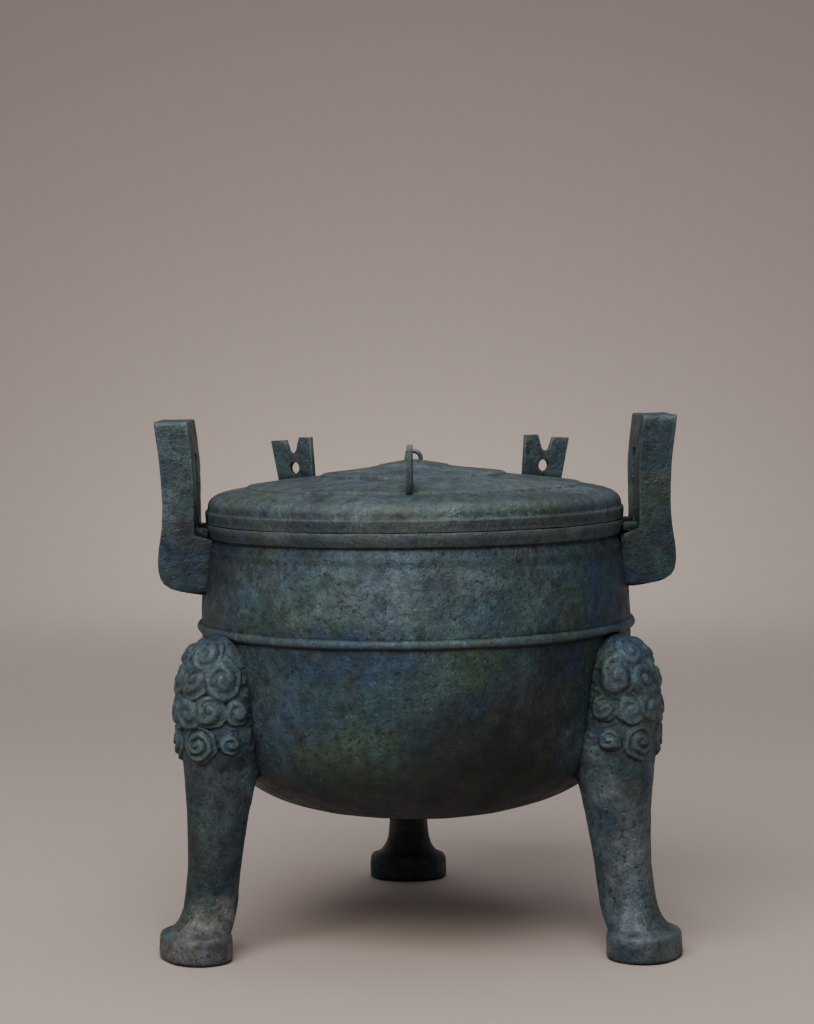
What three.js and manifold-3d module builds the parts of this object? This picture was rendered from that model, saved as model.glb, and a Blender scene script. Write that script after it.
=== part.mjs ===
// A bronze ding: a lidded tripod cooking vessel with two upright ears and three masked legs.
// Millimetres, +Z up. It stands on its three hooves at z = 0 and its front faces -Y.
// Two castings: the vessel (bowl, ears and legs in one) and the lid, which lifts off.

import * as THREE from 'three';
import { mergeVertices } from 'three/addons/utils/BufferGeometryUtils.js';
import Module from 'manifold-3d';

const wasm = await Module();
wasm.setup();

// Driving dimensions
const AROUND = 40;                 // facets round the bowl and the lid
const WALL = 6;                    // bowl wall
const BODY_R = 213.5;              // bowl radius just under the raised band
const BELLY_TOP = 300;             // where the belly's curve starts
const BELLY_BOTTOM = 121;          // lowest point of the bowl
const BELLY_ROUND = 2.9;           // superellipse power across the belly
const BELLY_FLAT = 3.6;            // superellipse power down the belly
const BAND_Z = 306;                // raised band: middle height, half height and how far it stands out
const BAND_HALF = 5;
const BAND_PROUD = 3.6;
const NECK_R = 207;                // bowl radius just under the rim
const RIM_R = 209;
const RIM_LOW = 394.2;
const RIM_TOP = 408.1;
const RIM_EDGE = 1.2;              // worn edge of the rim and of the lid's foot
const LIP_R = 202.3;                // upright inner lip that keeps the lid centred
const LIP_TOP = 412;
const LIP_THICK = 5;
const NECK_FOOT_Z = 335;           // a low point of the neck, and how far it has drawn in by there
const NECK_FOOT_IN = 0.6;
const NECK_TOP_Z = 390;            // where it has drawn in to NECK_R
const MOUTH_Z = 404;               // where the inside has drawn in to the lip
const CLEAR = 1;                   // how far a cutter runs past the face it cuts
const VESSEL_COLOUR = 0x34454a;
const LID_COLOUR = 0x3d4c4e;

const LEAN = -0.8;                 // degrees: bowl, ears and lid lean towards -X over the legs
const LEAN_PIVOT_Z = 300;
const EAR_TURN = 0.9;              // degrees, anticlockwise seen from above
const LID_TURN = -3.1;

const LEG_FACETS = 14;
// Each leg's azimuth, its girth against the table of rows, and how far its sole bends aside to +X
const LEGS = [[91.9, 1, 0.6], [211.4, 0.95, 2.2], [331.5, 1.015, 2.4]];
const FOOT_BEND_Z = 115;           // height at which the leg starts to bend aside
// Leg, from sole to top: height, outer face, inner face (both from the vessel's axis), half width
const LEG_ROWS = [
  [0, 276.5, 213, 40],
  [4, 278.5, 212, 41.5],
  [20, 278, 212, 41],
  [25, 275, 213, 38.5],
  [28, 268, 210.5, 32.5],
  [36, 262, 206, 25.5],
  [46, 257.5, 202, 22],
  [64, 254, 199.5, 20.6],
  [88, 251.5, 196.5, 21],
  [132, 251.4, 188.6, 24],
  [160, 253, 182, 28.5],
  [178, 254.5, 176, 33],
  [198, 257, 172, 40],
  [234, 259, 172, 41.5],
  [262, 255, 172, 38.5],
  [286, 247, 172, 31.5],
  [303, 227, 172, 16],
];
// Curled lobes of the mask: height, distance from the leg's middle plane, radius
const MASK_LOBES = [
  [287, 0, 17],
  [261, 15, 17],
  [256, 36, 13],
  [233, 0, 18],
  [229, 31, 17],
  [202, 19, 17],
  [199, 39, 11],
];
const LOBE_FLAT = 0.6;             // lobe height as a share of its radius
const LOBE_SUNK = 2.4;             // how far a lobe's middle lies under the leg's surface
const LOBE_FACETS = 8;

// Ear, from its foot to its top: height, outer face, inner face (both from the vessel's axis)
const EAR_ROWS = [
  [340, 212, 198],
  [343, 230, 199],
  [348.5, 245.5, 199],
  [356, 251.5, 199],
  [368, 253.8, 199],
  [394, 251.5, 199],
  [397, 251.2, 216.5],
  [428, 249.1, 217.8],
  [465, 251, 218.4],
  [485, 253.2, 220.2],
  [510, 256.7, 223.4],
];
const EAR_HALF_WIDTH = 53;
const EAR_ASIDE = 1.6;             // both ears stand this far to +X of the middle
const SLOT_HALF_WIDTH = 14;
const SLOT_LOW = 402;
const SLOT_TOP = 476;
const SLOT_REACH = 60;             // length of the slot's cutter, far more than the ear's thickness
const STUB_OFFSET = 38;            // short bars that tie each ear to the rim
const STUB_WIDTH = 12;
const STUB_LENGTH = 20;
const STUB_REACH = 4;              // how far its middle lies outside the rim
const STUB_LOW = 395;
const STUB_TOP = 405;

const LID_R = 208.4;
const LID_FOOT = 408.4;
const LID_APEX = 468;
const LID_APEX_INSIDE = 461;
const LID_WALL = 5;
const LID_SIDE_TOP = 417;          // where the inside of the lid's upright side meets its dome
// The lid's outer surface, from its upright side over the shoulder and two low steps to the apex
const LID_OUTER = [
  [208.6, 419],
  [207, 421],
  [205.6, 427],
  [202.5, 432],
  [195, 436],
  [184, 438.9],
  [168.2, 441.2],
  [165.4, 443.7],
  [120, 449.2],
  [93.4, 452.1],
  [90.4, 454.8],
  [52, 459.3],
  [25, 464.9],
];
// Its inner surface, from the middle out
const LID_INNER = [
  [45, 455],
  [92, 447.6],
  [165, 436.2],
  [188, 431.3],
  [198, 426],
];
// Plates on the lid: azimuth, and how much higher than the outline below each one stands
const FINS = [[-88.6, -2], [29.2, 0.3], [148.7, 0.3]];
const FIN_THICK = 5.6;
const FIN_ROOT = 436;              // buried in the dome
const FIN_ROOT_INNER_R = 122.8;    // the plate's four corners, from the lid's axis
const FIN_ROOT_OUTER_R = 166.6;
const FIN_TOP_OUTER_R = 177.8;
const FIN_TOP_INNER_R = 127;
const FIN_TOP_OUTER = 484.8;
const FIN_TOP_INNER = 488.8;
const NOTCH_BOTTOM = 472;
const NOTCH_R = 150.5;             // notch middle, from the lid's axis
const NOTCH_HALF_BOTTOM = 5.8;
const NOTCH_HALF_TOP = 9;
const HOLE_R = 6;
const HOLE_AT = [147.5, 457];
const LOOP_R = 7;                  // to the middle of the wire
const LOOP_WIRE_R = 2.3;
const LOOP_Z = 469;
const LOOP_FACETS = 12;

// A closed geometry as a solid: shared vertices merged and empty triangles left out
function solid(geometry) {
  const bare = geometry.clone();
  bare.deleteAttribute('normal');
  bare.deleteAttribute('uv');
  const merged = mergeVertices(bare, 1e-3);
  const index = merged.index.array;
  const kept = [];
  for (let i = 0; i < index.length; i += 3) {
    const [a, b, c] = [index[i], index[i + 1], index[i + 2]];
    if (a !== b && b !== c && c !== a) kept.push(a, b, c);
  }
  const vertProperties = new Float32Array(merged.attributes.position.array);
  return new wasm.Manifold(new wasm.Mesh({ numProp: 3, vertProperties, triVerts: new Uint32Array(kept) }));
}

function geometryOf(shape) {
  const mesh = shape.getMesh();
  const geometry = new THREE.BufferGeometry();
  geometry.setAttribute('position', new THREE.BufferAttribute(mesh.vertProperties, 3));
  geometry.setIndex(new THREE.BufferAttribute(mesh.triVerts, 1));
  geometry.computeVertexNormals();
  return geometry;
}

// Radius and height pairs, from the axis out and back to the axis, turned round +Z
function revolve(profile) {
  const points = profile.map(([r, z]) => new THREE.Vector2(r, z));
  return solid(new THREE.LatheGeometry(points, AROUND).rotateX(Math.PI / 2));
}

// A superellipse quarter from the bottom of the belly out to its top
function belly(radius, bottom, steps) {
  const points = [];
  for (let i = 0; i <= steps; i++) {
    const angle = (i / steps) * (Math.PI / 2);
    const r = radius * Math.sin(angle) ** (2 / BELLY_ROUND);
    const z = BELLY_TOP - (BELLY_TOP - bottom) * Math.cos(angle) ** (2 / BELLY_FLAT);
    points.push(i === 0 ? [0, bottom] : [r, z]);
  }
  return points;
}

function raisedBand() {
  const points = [];
  for (let i = 0; i <= 4; i++) {
    const angle = -Math.PI / 2 + (i / 4) * Math.PI;
    points.push([BODY_R + BAND_PROUD * Math.cos(angle), BAND_Z + BAND_HALF * Math.sin(angle)]);
  }
  return points;
}

function bowlOutside() {
  return revolve([
    ...belly(BODY_R, BELLY_BOTTOM, 9),
    ...raisedBand(),
    [BODY_R - NECK_FOOT_IN, NECK_FOOT_Z],
    [NECK_R, NECK_TOP_Z],
    [NECK_R, RIM_LOW],
    [RIM_R, RIM_LOW + RIM_EDGE],
    [RIM_R, RIM_TOP - RIM_EDGE],
    [RIM_R - RIM_EDGE, RIM_TOP],
    [LIP_R, RIM_TOP],
    [LIP_R - 0.6, LIP_TOP],
    [0, LIP_TOP],
  ]);
}

function bowlInside() {
  return revolve([
    ...belly(BODY_R - WALL, BELLY_BOTTOM + WALL, 8),
    [BODY_R - WALL - NECK_FOOT_IN, NECK_FOOT_Z],
    [NECK_R - WALL, NECK_TOP_Z],
    [LIP_R - LIP_THICK, MOUTH_Z],
    [LIP_R - LIP_THICK, LIP_TOP + CLEAR],
    [0, LIP_TOP + CLEAR],
  ]);
}

// The leg's table of rows with its depth and width scaled by its girth
function legRows(girth) {
  return LEG_ROWS.map(([z, outer, inner, half]) => [z, outer, outer - (outer - inner) * girth, half * girth]);
}

// One leg, standing out along +X: an oval section lofted through the rows, and the mask's lobes
function leg(girth) {
  const rows = legRows(girth);
  const steps = LEG_ROWS.length - 1;
  const loft = new THREE.CylinderGeometry(1, 1, 1, LEG_FACETS, steps).rotateX(Math.PI / 2);
  const position = loft.attributes.position;
  for (let i = 0; i < position.count; i++) {
    const [z, outer, inner, half] = rows[Math.round((position.getZ(i) + 0.5) * steps)];
    const x = (outer + inner) / 2 + position.getX(i) * (outer - inner) / 2;
    position.setXYZ(i, x, position.getY(i) * half, z);
  }
  let shape = solid(loft);
  for (const [z, aside, radius] of MASK_LOBES) {
    for (const side of aside === 0 ? [1] : [-1, 1]) {
      shape = shape.add(maskLobe(rows, z, aside * side, radius));
    }
  }
  return shape;
}

// A flattened ball on the oval surface of the leg, its flat axis along the surface normal
function maskLobe(rows, z, aside, radius) {
  const upper = rows.findIndex((row) => row[0] >= z);
  const [low, high] = [rows[upper - 1], rows[upper]];
  const share = (z - low[0]) / (high[0] - low[0]);
  const between = (column) => THREE.MathUtils.lerp(low[column], high[column], share);
  const [outer, inner, half] = [between(1), between(2), between(3)];
  const depth = (outer - inner) / 2;
  const angle = Math.asin(aside / Math.max(half, Math.abs(aside) + 1));
  const ball = new THREE.SphereGeometry(radius, LOBE_FACETS, LOBE_FACETS / 2).rotateZ(Math.PI / 2);
  ball.scale(LOBE_FLAT, 1, 1).translate(-LOBE_SUNK, 0, 0);
  ball.rotateZ(Math.atan2(depth * Math.sin(angle), half * Math.cos(angle)));
  ball.translate((outer + inner) / 2 + depth * Math.cos(angle), half * Math.sin(angle), z);
  return solid(ball);
}

// Bends a leg's lower part aside to +X, most at its sole
function bent(shape, aside) {
  return shape.warp((point) => {
    point[0] += aside * THREE.MathUtils.clamp(1 - point[2] / FOOT_BEND_Z, 0, 1);
  });
}

// One ear, standing at +X: a slab lofted through the rows, its slot cut through, tied to the rim
function ear(aside) {
  const steps = EAR_ROWS.length - 1;
  const loft = new THREE.BoxGeometry(1, 2, 1, 1, 1, steps);
  const position = loft.attributes.position;
  for (let i = 0; i < position.count; i++) {
    const [z, outer, inner] = EAR_ROWS[Math.round((position.getZ(i) + 0.5) * steps)];
    const x = inner + (position.getX(i) + 0.5) * (outer - inner) + aside;
    position.setXYZ(i, x, position.getY(i) * EAR_HALF_WIDTH, z);
  }
  const slot = new THREE.BoxGeometry(SLOT_REACH, 2 * SLOT_HALF_WIDTH, SLOT_TOP - SLOT_LOW);
  slot.translate(RIM_R + SLOT_REACH / 2, 0, (SLOT_TOP + SLOT_LOW) / 2);
  let shape = solid(loft).subtract(solid(slot));
  for (const side of [-1, 1]) {
    const stub = new THREE.BoxGeometry(STUB_LENGTH, STUB_WIDTH, STUB_TOP - STUB_LOW);
    stub.translate(RIM_R + STUB_REACH, side * STUB_OFFSET, (STUB_TOP + STUB_LOW) / 2);
    shape = shape.add(solid(stub));
  }
  return shape;
}

// The lean of the bowl, ears and lid about a level line through the belly
function leaned(shape) {
  return shape.translate([0, 0, -LEAN_PIVOT_Z]).rotate([0, LEAN, 0]).translate([0, 0, LEAN_PIVOT_Z]);
}

function vessel() {
  let cast = bowlOutside();
  for (const [azimuth, aside] of [[0, EAR_ASIDE], [180, -EAR_ASIDE]]) {
    cast = cast.add(ear(aside).rotate([0, 0, azimuth + EAR_TURN]));
  }
  cast = leaned(cast);
  for (const [azimuth, girth, aside] of LEGS) {
    cast = cast.add(bent(leg(girth).rotate([0, 0, azimuth]), aside));
  }
  return cast.subtract(leaned(bowlInside()));
}

// An upright radial plate of the lid, standing at +X, with a notch in its top and a round hole
function fin() {
  const outline = new THREE.Shape();
  outline.moveTo(FIN_ROOT_INNER_R, FIN_ROOT);
  outline.lineTo(FIN_ROOT_OUTER_R, FIN_ROOT);
  outline.lineTo(FIN_TOP_OUTER_R, FIN_TOP_OUTER);
  outline.lineTo(NOTCH_R + NOTCH_HALF_TOP, FIN_TOP_OUTER + 1);
  outline.lineTo(NOTCH_R + NOTCH_HALF_BOTTOM, NOTCH_BOTTOM + NOTCH_HALF_BOTTOM);
  outline.absarc(NOTCH_R, NOTCH_BOTTOM + NOTCH_HALF_BOTTOM, NOTCH_HALF_BOTTOM, 0, Math.PI, true);
  outline.lineTo(NOTCH_R - NOTCH_HALF_TOP, FIN_TOP_INNER);
  outline.lineTo(FIN_TOP_INNER_R, FIN_TOP_INNER);
  outline.closePath();
  const hole = new THREE.Path();
  hole.absarc(HOLE_AT[0], HOLE_AT[1], HOLE_R, 0, 2 * Math.PI, true);
  outline.holes.push(hole);
  const settings = { depth: FIN_THICK, bevelEnabled: false, curveSegments: 5 };
  const plate = new THREE.ExtrudeGeometry(outline, settings);
  return solid(plate.rotateX(Math.PI / 2).translate(0, FIN_THICK / 2, 0));
}

function loop() {
  const ring = new THREE.TorusGeometry(LOOP_R, LOOP_WIRE_R, LOOP_FACETS / 2, LOOP_FACETS);
  return solid(ring.rotateX(Math.PI / 2).translate(0, 0, LOOP_Z));
}

function lid() {
  let cast = revolve([
    [0, LID_APEX_INSIDE],
    ...LID_INNER,
    [LID_R - LID_WALL, LID_SIDE_TOP],
    [LID_R - LID_WALL, LID_FOOT],
    [LID_R - RIM_EDGE, LID_FOOT],
    [LID_R, LID_FOOT + RIM_EDGE],
    ...LID_OUTER,
    [0, LID_APEX],
  ]);
  for (const [azimuth, higher] of FINS) {
    cast = cast.add(fin().translate([0, 0, higher]).rotate([0, 0, azimuth]));
  }
  return leaned(cast.add(loop()).rotate([0, 0, LID_TURN]));
}

function named(name, shape, colour) {
  const material = new THREE.MeshStandardMaterial({ color: colour, roughness: 0.62, metalness: 0.35 });
  const mesh = new THREE.Mesh(geometryOf(shape), material);
  mesh.name = name;
  return mesh;
}

const ding = new THREE.Group();
ding.add(named('vessel', vessel(), VESSEL_COLOUR));
ding.add(named('lid', lid(), LID_COLOUR));

// The origin is on the floor, under the middle of the whole object's box
const box = new THREE.Box3().setFromObject(ding);
const middle = box.getCenter(new THREE.Vector3());
for (const mesh of ding.children) mesh.geometry.translate(-middle.x, -middle.y, -box.min.z);

export default ding;
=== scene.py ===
"""The looks of a bronze ding: a lidded tripod vessel with slotted ears and masked legs, and its lid.

Shapes are worked out in millimetres round the vessel's own upright axis, with z = 0 at the soles, and are
then scaled to metres and moved to where the frame has that axis.
"""

import math

import bmesh
import bpy
import numpy as np
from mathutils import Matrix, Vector, noise


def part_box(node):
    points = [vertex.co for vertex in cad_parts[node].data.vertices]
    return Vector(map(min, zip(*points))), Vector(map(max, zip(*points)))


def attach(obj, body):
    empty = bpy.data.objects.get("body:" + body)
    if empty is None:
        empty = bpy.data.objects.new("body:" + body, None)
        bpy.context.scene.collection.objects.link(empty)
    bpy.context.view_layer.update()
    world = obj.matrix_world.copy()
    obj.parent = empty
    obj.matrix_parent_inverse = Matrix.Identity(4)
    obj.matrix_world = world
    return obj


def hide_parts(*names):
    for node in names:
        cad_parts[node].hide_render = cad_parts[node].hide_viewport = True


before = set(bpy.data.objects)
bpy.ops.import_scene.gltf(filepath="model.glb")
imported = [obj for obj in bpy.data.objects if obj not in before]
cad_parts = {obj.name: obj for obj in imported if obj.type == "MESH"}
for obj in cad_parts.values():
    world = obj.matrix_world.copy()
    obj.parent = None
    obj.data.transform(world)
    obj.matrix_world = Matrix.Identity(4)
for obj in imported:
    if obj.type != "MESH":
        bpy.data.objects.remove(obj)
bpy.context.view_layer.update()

MM = 0.001

# The bowl
BODY_R = 213.5
WALL = 6.0
BELLY_TOP = 300.0
BELLY_BOTTOM = 121.0
BELLY_ROUND = 2.9                  # superellipse powers across and down the belly
BELLY_FLAT = 3.6
BAND_Z = 306.0
BAND_HALF = 5.0
BAND_PROUD = 3.8                   # the band stands out by this to the power of BAND_POWER, which is 4.6
BAND_SUNK = 0.1                    # how far the band's feet are sunk in the bowl
NECK_R = 207.0
RIM_R = 209.0
RIM_LOW = 394.2
NECK_TOP = RIM_LOW - 1.5
RIM_TOP = 408.1
RIM_EDGE = 1.3
RIM_UNDERCUT = 3.0
RIM_SLANT = 2.2                    # how far the rim's face leans in towards its foot
LIP_R = 202.3
LIP_TOP = 412.0
LIP_THICK = 5.0
BOWL_AROUND = 200
BOWL_INSIDE_AROUND = 120
BELLY_STEPS = 46                   # mesh steps down the belly outside and inside, over the band, up the neck
BELLY_INSIDE_STEPS = 24
BAND_STEPS = 12
NECK_STEPS = 20
BAND_POWER = 1.15                  # how narrow the band's crest is
NECK_POWER = 1.7                   # how late the neck draws in
UNDERCUT_FROM = 0.9                # share of the neck's height where it starts to cut in under the rim
NECK_INSIDE = ((0.6, 335.0), (2.5, 362.0))   # how far the inner wall has drawn in, at two heights
AXIS_GAP = 2.0                     # radius at which the bowl's profiles stop short of the axis

# How the casting stands: the bowl, ears and lid lean to -X over the legs, and each part is a little turned
LEAN = math.radians(-0.8)
LEAN_PIVOT_Z = 300.0
EAR_TURN = math.radians(0.9)
LID_TURN = math.radians(-3.1)

# A leg, from sole to top: height, outer face, inner face (from the vessel's axis), half width
LEG_ROWS = np.array([
    [0, 275.8, 213.8, 39.4],
    [1.2, 277.8, 212.3, 41],
    [4, 278.6, 211.8, 41.6],
    [19, 278, 212, 41.2],
    [23.5, 277, 212.5, 40.2],
    [25.5, 274, 213, 37.5],
    [27.5, 268, 210.5, 32.5],
    [32, 264, 208, 28.5],
    [40, 259.5, 204, 24],
    [50, 256.5, 201.5, 21.6],
    [66, 254, 199.5, 20.6],
    [88, 251.5, 196.5, 21],
    [132, 251.4, 188.6, 24],
    [160, 253, 182, 28.5],
    [178, 254, 176, 33],
    [198, 255, 172, 39.5],
    [234, 257.8, 172, 41.2],
    [262, 255, 172, 38.5],
    [276, 251, 172, 35],
    [286, 247, 172, 31.5],
    [294, 241, 172, 26.5],
    [300, 233, 172, 20.5],
    [304, 224, 172, 14],
], dtype=float)
# Each leg's azimuth, how far its mask's lobes stand out, how much higher its mask is than the table below
# has it, its girth against the table above, and how far its sole is to +X
LEGS = (
    (91.9, 5.6, 0.0, 1.0, 0.6),
    (211.4, 6.6, 0.5, 0.95, 2.2),
    (331.5, 5.0, 2.8, 1.015, 2.4),
)
FOOT_BEND_Z = 115.0                # height at which the leg starts to bend aside to its sole
LEG_COLUMNS = 168
LEG_CROWDING = 0.45                # how much closer the mesh columns lie on the leg's outer side
LEG_SQUARE = 2.25                  # superellipse power of the leg's section
# Stretches of the leg's height and the mesh rows in each
LEG_STRETCHES = ((0, 30, 16), (30, 178, 26), (178, 302, 112), (302, 304, 2))

# The mask's lobes on one half of a leg: degrees round the section from the leg's outer face, height,
# radius, how much taller than wide, the turns of its curl, which way it winds
LOBES = (
    (29, 287, 15.5, 0.95, 1.2, 1),
    (18, 264, 18.5, 1.0, 1.5, -1),
    (62, 266, 17.5, 1.3, 1.3, 1),
    (13, 235, 18.5, 1.0, 1.4, 1),
    (46, 236, 15.5, 1.0, 1.3, -1),
    (82, 235, 13.0, 1.0, 1.1, 1),
    (28, 205, 17.5, 1.08, 2.2, -1),
    (73, 206, 11.0, 0.95, 1.2, 1),
)
LOBE_DROOP = 0.25                  # how much a lobe gets prouder from its middle down, and less so up
CURL_DEPTH = 0.4                   # as a share of the lobes' height
LOBE_SWELL = 2.4                   # power of a lobe's section: higher is flatter on top, steeper at the edge
CURL_SPREAD = 1.1                  # share of its turns that a curl makes from its lobe's middle to the edge
CURL_EDGE = 0.95                   # where a curl ends, as a share of its lobe's radius
CURL_SHARPNESS = 1.6               # power of the groove's section: higher is narrower
CURL_FADE = 5.0                    # how fast a curl deepens from its lobe's middle and from its edge
NUDGE = 0.02                       # radians round the section, to find which way the face runs
FACING_REACH = 1.1                 # a lobe acts on its own face of the leg only: how far behind its middle
FACING_FADE = 0.4                  # that goes, and over what length it fades, as shares of its radius
# The rough strip between the lobes and the bowl: degrees round the section, heights, bumps' size and depth,
# and how far its edges fade
ROUGH_FROM = 72.0
ROUGH_TO = 125.0
ROUGH_LOW = 195.0
ROUGH_TOP = 285.0
ROUGH_SIZE = 4.2
ROUGH_DEPTH = 1.6
ROUGH_FADE = 8.0
# Lobes and curls waver, as made by hand: by how much, over what length, from what height up, and its seed
WAVER = 2.2
WAVER_SIZE = 13.0
MASK_LOW = 175.0
WAVER_SEED = 5

# An ear's side, from its foot to its top: height, outer face, inner face (from the vessel's axis)
EAR_ROWS = np.array([
    [340, 212, 198],
    [341, 219, 198.5],
    [343, 230, 199],
    [345.5, 239, 199],
    [348.5, 245.5, 199],
    [352.5, 249.5, 199],
    [358.5, 252.4, 199],
    [368, 253.8, 199],
    [380, 253.5, 199],
    [393, 251.7, 199],
    [396.5, 251.2, 215.5],
    [401, 250.6, 217.6],
    [412, 249.6, 217.9],
    [428, 249.1, 217.8],
    [445, 249.7, 217.8],
    [465, 251, 218.4],
    [485, 253.2, 220.2],
    [500, 255.3, 222.1],
    [510, 256.7, 223.4],
], dtype=float)
EAR_ASIDE = 1.6                    # both ears stand this far to +X of the middle
EAR_LIFT = 2.5                     # how much higher the foot of the +X ear is, and where that dies out
EAR_BEND_Z = 390.0
EAR_HALF = 53.0
EAR_CORNER = 5.0
EAR_EDGE = 1.8
SLOT_HALF = 14.0
SLOT_LOW = 402.0
SLOT_TOP = 476.0
SLOT_CORNER = 4.0
SIDE_STEPS = 34                    # mesh steps up an ear, across its top, round a corner, from the slot
TOP_STEPS = 8                      # to the outside, and through its thickness
CORNER_STEPS = 4
MEMBER_STEPS = 12
THROUGH_STEPS = 6
STUB_SIZE = (20.0, 12.0, 10.0)
STUB_AT = (RIM_R + 4, 38.0, 400.0)
STUB_EDGE = 2.0
# Each ear's azimuth, how far it stands aside in its own frame, the lift of its foot, and its seed
EARS = ((0, EAR_ASIDE, EAR_LIFT, 9.0), (180, -EAR_ASIDE, 0.0, 31.0))

# The lid
LID_R = 208.4
LID_FOOT = 408.4
LID_WALL = 5.0
LID_APEX = 468.0
LID_STRETCH = 7.0                  # longest step of the lid's profile in the mesh
# Radius and height of the lid's outer face: its side with a low ridge, the shoulder, two steps and a boss
LID_OUTER = (
    (LID_R, 413), (208.6, 418), (208.5, 419.4), (208, 420.3), (207.2, 420.8), (206.5, 421.4),
    (206.2, 422.6), (206, 425), (205.4, 428),
    (203.2, 431.4), (198.8, 434.6), (191.5, 437.2), (184, 438.9), (176, 440.2), (168.2, 441.2),
    (167.4, 441.7), (166.6, 443), (165.4, 443.7), (150, 445.8), (120, 449.2), (93.4, 452.1),
    (92.6, 452.6), (91.8, 454.1), (90.4, 454.8), (70, 457.1), (52, 459.3), (45, 460.3), (36, 462.1),
    (34, 463.2), (25, 464.9), (12, 466.9), (4, 467.8),
)
# Radius and height of its inner face, from the middle to where the upright side starts
LID_INNER = (
    (2, 461), (45, 455), (92, 447.6), (130, 442.7), (165, 436.2), (180, 433.5), (188, 431.3), (194, 428.8),
    (197.5, 426.5), (201, 422),
)
LID_INNER_SIDE = (417.0, 412.0)
LID_TIP_R = 1.5                    # radius at which the lid's outer face stops short of the axis
LID_AROUND = 220
FINS = ((-88.6, -2.0), (29.2, 0.3), (148.7, 0.3))     # each plate's azimuth and how much higher it stands
FIN_THICK = 5.6
FIN_BEVEL = 0.7
FIN_ROOT = 436.0
FIN_OUTER_LOW = 166.6              # the plate's outer and inner edges, low down and at the top
FIN_OUTER_TOP = 177.8
FIN_INNER_LOW = 122.8
FIN_INNER_TOP = 127.0
FIN_TOP_OUTER = 484.8
FIN_TOP_INNER = 488.8
NOTCH_R = 150.5
NOTCH_BOTTOM = 472.0
NOTCH_HALF_BOTTOM = 5.8
NOTCH_HALF_TOP = 9.0
NOTCH_STEPS = 8
HOLE_R = 6.0
HOLE_STEPS = 24
HOLE_AT = (147.5, 457.0)
LOOP_R = 7.0
LOOP_WIRE = 2.3
LOOP_Z = 469.0
LOOP_AROUND = 40
LOOP_SECTION = 16
# Unevenness of the casting, coarse then fine: the size of the swellings and how far they go in and out
BOWL_UNEVEN = ((70.0, 0.7), (16.0, 0.16))
LEG_UNEVEN = ((24.0, 0.45), (7.0, 0.35))
EAR_UNEVEN = ((45.0, 0.5), (9.0, 0.2))
LID_UNEVEN = ((60.0, 0.5), (15.0, 0.14))


def monotone(rows, heights):
    """The rows' other columns at these heights, on smooth curves that never overshoot a row."""
    x = rows[:, 0]
    step = np.diff(x)
    out = []
    for y in rows[:, 1:].T:
        slope = np.diff(y) / step
        tangent = np.zeros(len(x))
        tangent[0], tangent[-1] = slope[0], slope[-1]
        same = slope[:-1] * slope[1:] > 0
        harmonic = 2 * slope[:-1] * slope[1:] / np.where(same, slope[:-1] + slope[1:], 1)
        tangent[1:-1] = np.where(same, harmonic, 0)
        i = np.clip(np.searchsorted(x, heights, side="right") - 1, 0, len(step) - 1)
        t = (heights - x[i]) / step[i]
        out.append(
            y[i] * (2 * t**3 - 3 * t**2 + 1)
            + y[i + 1] * (3 * t**2 - 2 * t**3)
            + tangent[i] * step[i] * (t**3 - 2 * t**2 + t)
            + tangent[i + 1] * step[i] * (t**3 - t**2)
        )
    return np.stack(out, axis=-1)


def ring_faces(rows, columns, wrap_rows=False):
    """Quads of a grid whose columns close on themselves, and whose rows may too."""
    r = np.arange(rows if wrap_rows else rows - 1)[:, None]
    c = np.arange(columns)[None, :]
    below, above = r * columns, ((r + 1) % rows) * columns
    right = (c + 1) % columns
    return np.stack([below + c, below + right, above + right, above + c], axis=-1).reshape(-1, 4)


def solid(name, points, faces):
    mesh = bpy.data.meshes.new(name)
    mesh.from_pydata(np.asarray(points, dtype=float).tolist(), [], [list(map(int, f)) for f in faces])
    mesh.validate()
    made = bpy.data.objects.new(name, mesh)
    bpy.context.scene.collection.objects.link(made)
    face_out(made)
    return made


def face_out(made):
    """All faces of a closed mesh turned to point out of it."""
    work = bmesh.new()
    work.from_mesh(made.data)
    bmesh.ops.recalc_face_normals(work, faces=work.faces)
    if work.calc_volume(signed=True) < 0:
        bmesh.ops.reverse_faces(work, faces=work.faces)
    work.to_mesh(made.data)
    work.free()


def capped(name, grid):
    """A closed solid from a grid of rings, each end closed by a fan to its middle."""
    rows, columns, _ = grid.shape
    points = np.concatenate([grid.reshape(-1, 3), grid[:1].mean(axis=1), grid[-1:].mean(axis=1)])
    first, last = rows * columns, rows * columns + 1
    faces = [tuple(f) for f in ring_faces(rows, columns)]
    top = (rows - 1) * columns
    for c in range(columns):
        right = (c + 1) % columns
        faces.append((first, right, c))
        faces.append((last, top + c, top + right))
    return solid(name, points, faces)


def rings(profile, around):
    """Radius and height pairs turned round the upright axis, as a grid of points."""
    angle = np.linspace(0, 2 * np.pi, around, endpoint=False)
    grid = np.empty((len(profile), around, 3))
    grid[..., 0] = profile[:, :1] * np.cos(angle)
    grid[..., 1] = profile[:, :1] * np.sin(angle)
    grid[..., 2] = profile[:, 1:]
    return grid


def revolve(name, profile, around):
    """A solid of revolution. Its profile's first and last points are next to the upright axis."""
    return capped(name, rings(np.asarray(profile, dtype=float), around))


def roughen(made, size, depth, seed):
    """Moves a surface in and out by slow noise, as an old hand-made mould leaves it."""
    offset = Vector((seed, 2 * seed, 3 * seed))
    points = coordinates(made)
    normals = np.empty(points.size)
    made.data.vertices.foreach_get("normal", normals)
    push = [noise.fractal(Vector(point) / size + offset, 1.0, 2.0, 3) for point in points]
    move_to(made, points + normals.reshape(-1, 3) * np.array(push)[:, None] * depth)


def uneven(made, layers, seeds):
    """Roughens a surface once for each layer, a swelling's size and depth, with a seed of its own."""
    for (size, depth), seed in zip(layers, seeds):
        roughen(made, size, depth, seed)


def turned(made, angle):
    """Turned about the upright axis."""
    spin(made, angle, axis=2, pivot_z=0.0)
    return made


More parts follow.
